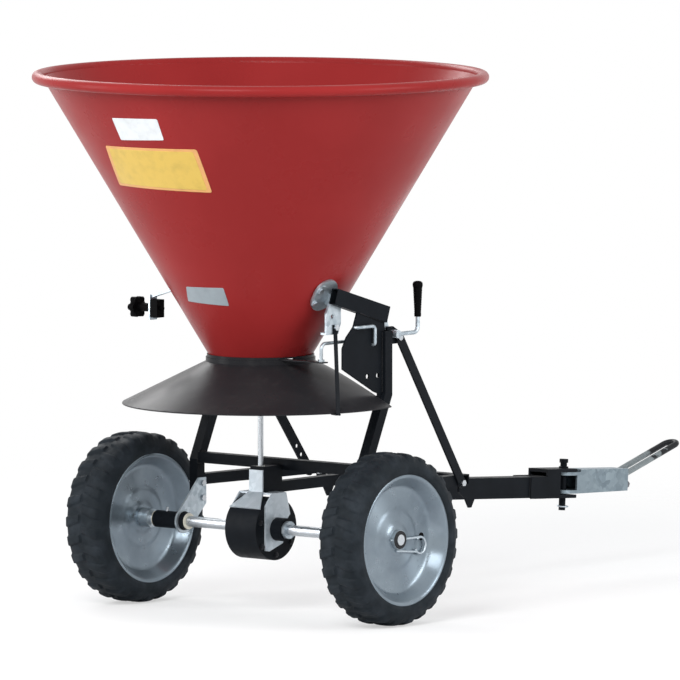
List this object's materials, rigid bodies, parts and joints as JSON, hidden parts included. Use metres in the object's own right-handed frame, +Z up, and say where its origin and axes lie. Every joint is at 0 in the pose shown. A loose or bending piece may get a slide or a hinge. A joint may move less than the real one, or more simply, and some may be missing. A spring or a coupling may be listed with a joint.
{
  "type": "broadcast spreader",
  "caption": "Towed two-wheeled broadcast spreader: cone hopper with rolled rim over a skirted, wheel-driven spinner, shutter lever, A-shaped tube frame and drawbar with tow loop.",
  "frame": {"origin": "on the ground, under the middle of the bounding box", "axes": "+X forwards along the drawbar, +Y to the left wheel, +Z up"},
  "size_m": [2.0713, 1.0599, 1.263],
  "materials": {
    "red_paint": "gloss",
    "dark_paint": "satin",
    "black_paint": "satin",
    "zinc": "zinc plated",
    "bright_steel": "bright",
    "gear_steel": "machined",
    "rim_paint": "silver",
    "tyre": "matt",
    "black_plastic": "matt",
    "bush_plastic": "matt"
  },
  "bodies": {
    "frame": {"hopper": "red_paint", "hopper_floor": "dark_paint", "hopper_collar": "dark_paint", "skirt": "dark_paint", "skirt_stay": "dark_paint", "stay_hanger": "zinc", "upright_right": "black_paint", "upright_left": "black_paint", "crossbar": "black_paint", "side_rail_right": "black_paint", "side_rail_left": "black_paint", "centre_rail": "black_paint", "front_crossmember": "black_paint", "brace_right": "black_paint", "brace_left": "black_paint", "side_plates": "black_paint", "stop_hook": "zinc", "brace_brackets": "black_paint", "hopper_arm_right": "black_paint", "hopper_arm_left": "black_paint", "hopper_clamps": "zinc", "rail_gussets": "black_paint", "bearing_plates": "zinc", "bearing_tube_right": "black_paint", "bearing_tube_left": "black_paint", "bushes": "bush_plastic", "shaft_block": "black_paint", "gearbox_yoke": "zinc", "gear_cover_right": "black_paint", "gear_cover_left": "black_paint", "drawbar": "black_paint", "drawbar_plate": "black_paint", "hitch_fork": "black_paint", "hitch_pin": "black_paint", "hitch_pin_clip": "zinc", "frame_bolts": "bright_steel", "hopper_bolts": "bright_steel", "cable_bracket": "zinc", "cable_clamp": "black_plastic"},
    "drive_axle": {"axle": "bright_steel", "crown_gear": "gear_steel", "axle_collars": "zinc", "axle_clips": "zinc", "tyre_right": "tyre", "rim_right": "rim_paint", "hub_right": "zinc"},
    "left_wheel": {"tyre_left": "tyre", "rim_left": "rim_paint", "hub_left": "zinc"},
    "spinner_shaft": {"drive_shaft": "bright_steel", "pinion": "gear_steel", "spinner": "bright_steel", "agitator": "bright_steel"},
    "shutter": {"shutter_plate": "dark_paint", "shutter_link": "zinc"},
    "lever": {"lever_bar": "zinc", "lever_grip": "black_plastic"},
    "hitch": {"hitch_head": "zinc", "tow_loop": "black_paint"},
    "knob": {"clamp_knob": "black_plastic"}
  },
  "joints": [
    {"name": "axle_spin", "type": "hinge", "parent": "frame", "child": "drive_axle", "pos_m": [-0.50551, 0, 0.2], "axis": [0, 1, 0], "continuous": true},
    {"name": "left_wheel_spin", "type": "hinge", "parent": "drive_axle", "child": "left_wheel", "pos_m": [-0.50551, 0.388, 0.2], "axis": [0, 1, 0], "continuous": true},
    {"name": "spinner_spin", "type": "hinge", "parent": "frame", "child": "spinner_shaft", "pos_m": [-0.50551, 0, 0.5], "axis": [0, 0, 1], "continuous": true},
    {"name": "lever_swing", "type": "hinge", "parent": "frame", "child": "lever", "pos_m": [-0.33101, -0.2665, 0.655], "axis": [0, 1, 0], "range_deg": [0, 30]},
    {"name": "shutter_slide", "type": "slide", "parent": "frame", "child": "shutter", "axis": [1, 0, 0], "range_m": [0, 0.0202]},
    {"name": "hitch_yaw", "type": "hinge", "parent": "frame", "child": "hitch", "pos_m": [0.60507, 0, 0.21093], "axis": [0.0642, 0, 0.9979], "range_deg": [-45, 45]},
    {"name": "knob_turn", "type": "hinge", "parent": "frame", "child": "knob", "pos_m": [-0.54351, 0.339, 0.699], "axis": [0, 1, 0], "continuous": true}
  ],
  "couplings": [
    {"joint": "spinner_spin", "follows": "axle_spin", "ratio": 4},
    {"joint": "shutter_slide", "follows": "lever_swing", "m_per_rad": 0.038197}
  ]
}
